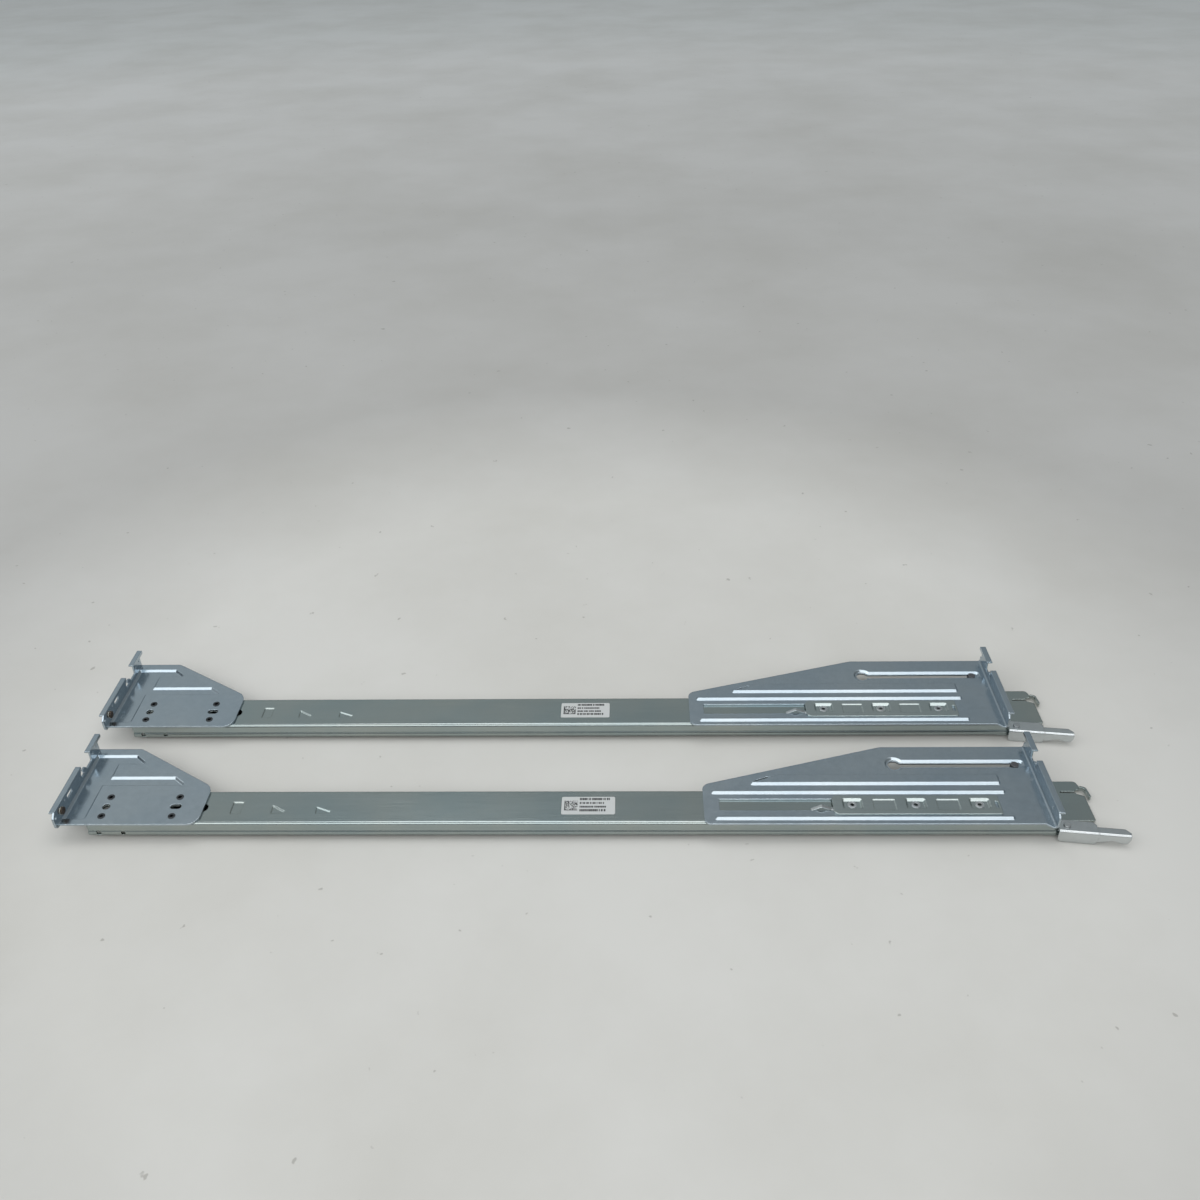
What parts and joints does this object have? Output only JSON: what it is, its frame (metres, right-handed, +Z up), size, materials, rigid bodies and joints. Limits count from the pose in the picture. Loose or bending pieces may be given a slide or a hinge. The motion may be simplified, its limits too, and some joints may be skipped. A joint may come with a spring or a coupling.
{
  "type": "sliding server rail pair",
  "caption": "Pair of telescopic ball-bearing rails with rack brackets at both ends, release catches and keyhole chassis members, lying rack side up.",
  "frame": {"origin": "middle of the pair's footprint, on the surface that the rails lie on", "axes": "+X along the rails to the rear (catch) end, +Y across to the far rail, +Z up"},
  "size_m": [0.7896, 0.201, 0.028],
  "materials": {
    "rail_zinc": "satin grey-green zinc plate",
    "bracket_zinc": "satin blue-grey zinc plate",
    "lever_zinc": "satin light grey zinc plate",
    "member_zinc": "satin zinc plate",
    "cage_steel": "plain pressed sheet",
    "ball_steel": "polished",
    "rivet_steel": "satin",
    "spring_steel": "plain wire and strip",
    "stud_steel": "dark finish",
    "screw_brass": "dark brown plate",
    "bumper_rubber": "matte black"
  },
  "bodies": {
    "rack_side": {"near_outer_channel": "rail_zinc", "near_front_bracket": "bracket_zinc", "near_front_bracket_rivets": "rivet_steel", "near_front_screw_spring": "spring_steel", "near_clamp_bar": "rail_zinc", "near_clamp_rivets": "rivet_steel", "near_bracket_stop_leaf": "spring_steel", "near_catch_pivot_pin": "rivet_steel", "near_catch_spring": "spring_steel", "near_rear_bumper": "bumper_rubber", "far_outer_channel": "rail_zinc", "far_front_bracket": "bracket_zinc", "far_front_bracket_rivets": "rivet_steel", "far_front_screw_spring": "spring_steel", "far_clamp_bar": "rail_zinc", "far_clamp_rivets": "rivet_steel", "far_bracket_stop_leaf": "spring_steel", "far_catch_pivot_pin": "rivet_steel", "far_catch_spring": "spring_steel", "far_rear_bumper": "bumper_rubber"},
    "near_rear_bracket": {"near_rear_bracket": "bracket_zinc"},
    "near_slot_stud": {"near_slot_stud": "stud_steel"},
    "near_captive_screw": {"near_front_captive_screw": "screw_brass"},
    "near_catch": {"near_catch_lever": "lever_zinc"},
    "near_middle": {"near_middle_member": "member_zinc"},
    "near_outer_cage": {"near_outer_ball_cage": "cage_steel", "near_outer_balls": "ball_steel"},
    "near_inner_cage": {"near_inner_ball_cage": "cage_steel", "near_inner_balls": "ball_steel"},
    "near_inner": {"near_inner_member": "member_zinc", "near_inner_member_flanges": "member_zinc", "near_inner_end_plate": "rail_zinc", "near_end_plate_rivets": "rivet_steel", "near_disconnect_rivet": "rivet_steel", "near_chassis_lock_pin": "rivet_steel"},
    "near_disconnect": {"near_disconnect_lever": "lever_zinc"},
    "near_lock": {"near_chassis_lock": "spring_steel"},
    "far_rear_bracket": {"far_rear_bracket": "bracket_zinc"},
    "far_slot_stud": {"far_slot_stud": "stud_steel"},
    "far_captive_screw": {"far_front_captive_screw": "screw_brass"},
    "far_catch": {"far_catch_lever": "lever_zinc"},
    "far_middle": {"far_middle_member": "member_zinc"},
    "far_outer_cage": {"far_outer_ball_cage": "cage_steel", "far_outer_balls": "ball_steel"},
    "far_inner_cage": {"far_inner_ball_cage": "cage_steel", "far_inner_balls": "ball_steel"},
    "far_inner": {"far_inner_member": "member_zinc", "far_inner_member_flanges": "member_zinc", "far_inner_end_plate": "rail_zinc", "far_end_plate_rivets": "rivet_steel", "far_disconnect_rivet": "rivet_steel", "far_chassis_lock_pin": "rivet_steel"},
    "far_disconnect": {"far_disconnect_lever": "lever_zinc"},
    "far_lock": {"far_chassis_lock": "spring_steel"}
  },
  "joints": [
    {"name": "near_bracket_extend", "type": "slide", "parent": "rack_side", "child": "near_rear_bracket", "axis": [1, 0, 0], "range_m": [0, 0.065]},
    {"name": "near_stud_travel", "type": "slide", "parent": "near_rear_bracket", "child": "near_slot_stud", "axis": [-1, 0, 0], "range_m": [0, 0.0935]},
    {"name": "near_screw_turn", "type": "hinge", "parent": "rack_side", "child": "near_captive_screw", "pos_m": [-0.385, -0.08415, 0.0215], "axis": [1, 0, 0], "continuous": true},
    {"name": "near_catch_release", "type": "hinge", "parent": "rack_side", "child": "near_catch", "pos_m": [0.3516, -0.08965, 0.0059], "axis": [0, 0, 1], "range_deg": [0, 5.5], "stiffness_Nm_per_rad": 0.3},
    {"name": "near_middle_slide", "type": "slide", "parent": "rack_side", "child": "near_middle", "axis": [-1, 0, 0], "range_m": [0, 0.34]},
    {"name": "near_inner_slide", "type": "slide", "parent": "near_middle", "child": "near_inner", "axis": [-1, 0, 0], "range_m": [0, 0.34]},
    {"name": "near_outer_cage_roll", "type": "slide", "parent": "rack_side", "child": "near_outer_cage", "axis": [-1, 0, 0], "range_m": [0, 0.17]},
    {"name": "near_inner_cage_roll", "type": "slide", "parent": "near_middle", "child": "near_inner_cage", "axis": [-1, 0, 0], "range_m": [0, 0.17]},
    {"name": "near_disconnect_turn", "type": "hinge", "parent": "near_inner", "child": "near_disconnect", "pos_m": [-0.3064, -0.07415, 0.00205], "axis": [0, 0, 1], "range_deg": [0, 4]},
    {"name": "near_lock_lift", "type": "hinge", "parent": "near_inner", "child": "near_lock", "pos_m": [-0.1264, -0.07415, 0.0034], "axis": [0, -1, 0], "range_deg": [0, 6], "stiffness_Nm_per_rad": 0.05},
    {"name": "far_bracket_extend", "type": "slide", "parent": "rack_side", "child": "far_rear_bracket", "axis": [1, 0, 0], "range_m": [0, 0.065]},
    {"name": "far_stud_travel", "type": "slide", "parent": "far_rear_bracket", "child": "far_slot_stud", "axis": [-1, 0, 0], "range_m": [0, 0.0935]},
    {"name": "far_screw_turn", "type": "hinge", "parent": "rack_side", "child": "far_captive_screw", "pos_m": [-0.3904, 0.02345, 0.0215], "axis": [1, 0, 0], "continuous": true},
    {"name": "far_catch_release", "type": "hinge", "parent": "rack_side", "child": "far_catch", "pos_m": [0.3462, 0.01795, 0.0059], "axis": [0, 0, 1], "range_deg": [0, 5.5], "stiffness_Nm_per_rad": 0.3},
    {"name": "far_middle_slide", "type": "slide", "parent": "rack_side", "child": "far_middle", "axis": [-1, 0, 0], "range_m": [0, 0.34]},
    {"name": "far_inner_slide", "type": "slide", "parent": "far_middle", "child": "far_inner", "axis": [-1, 0, 0], "range_m": [0, 0.34]},
    {"name": "far_outer_cage_roll", "type": "slide", "parent": "rack_side", "child": "far_outer_cage", "axis": [-1, 0, 0], "range_m": [0, 0.17]},
    {"name": "far_inner_cage_roll", "type": "slide", "parent": "far_middle", "child": "far_inner_cage", "axis": [-1, 0, 0], "range_m": [0, 0.17]},
    {"name": "far_disconnect_turn", "type": "hinge", "parent": "far_inner", "child": "far_disconnect", "pos_m": [-0.3118, 0.03345, 0.00205], "axis": [0, 0, 1], "range_deg": [0, 4]},
    {"name": "far_lock_lift", "type": "hinge", "parent": "far_inner", "child": "far_lock", "pos_m": [-0.1318, 0.03345, 0.0034], "axis": [0, -1, 0], "range_deg": [0, 6], "stiffness_Nm_per_rad": 0.05}
  ],
  "couplings": [
    {"joint": "near_outer_cage_roll", "follows": "near_middle_slide", "ratio": 0.5},
    {"joint": "near_inner_cage_roll", "follows": "near_inner_slide", "ratio": 0.5},
    {"joint": "far_outer_cage_roll", "follows": "far_middle_slide", "ratio": 0.5},
    {"joint": "far_inner_cage_roll", "follows": "far_inner_slide", "ratio": 0.5}
  ]
}
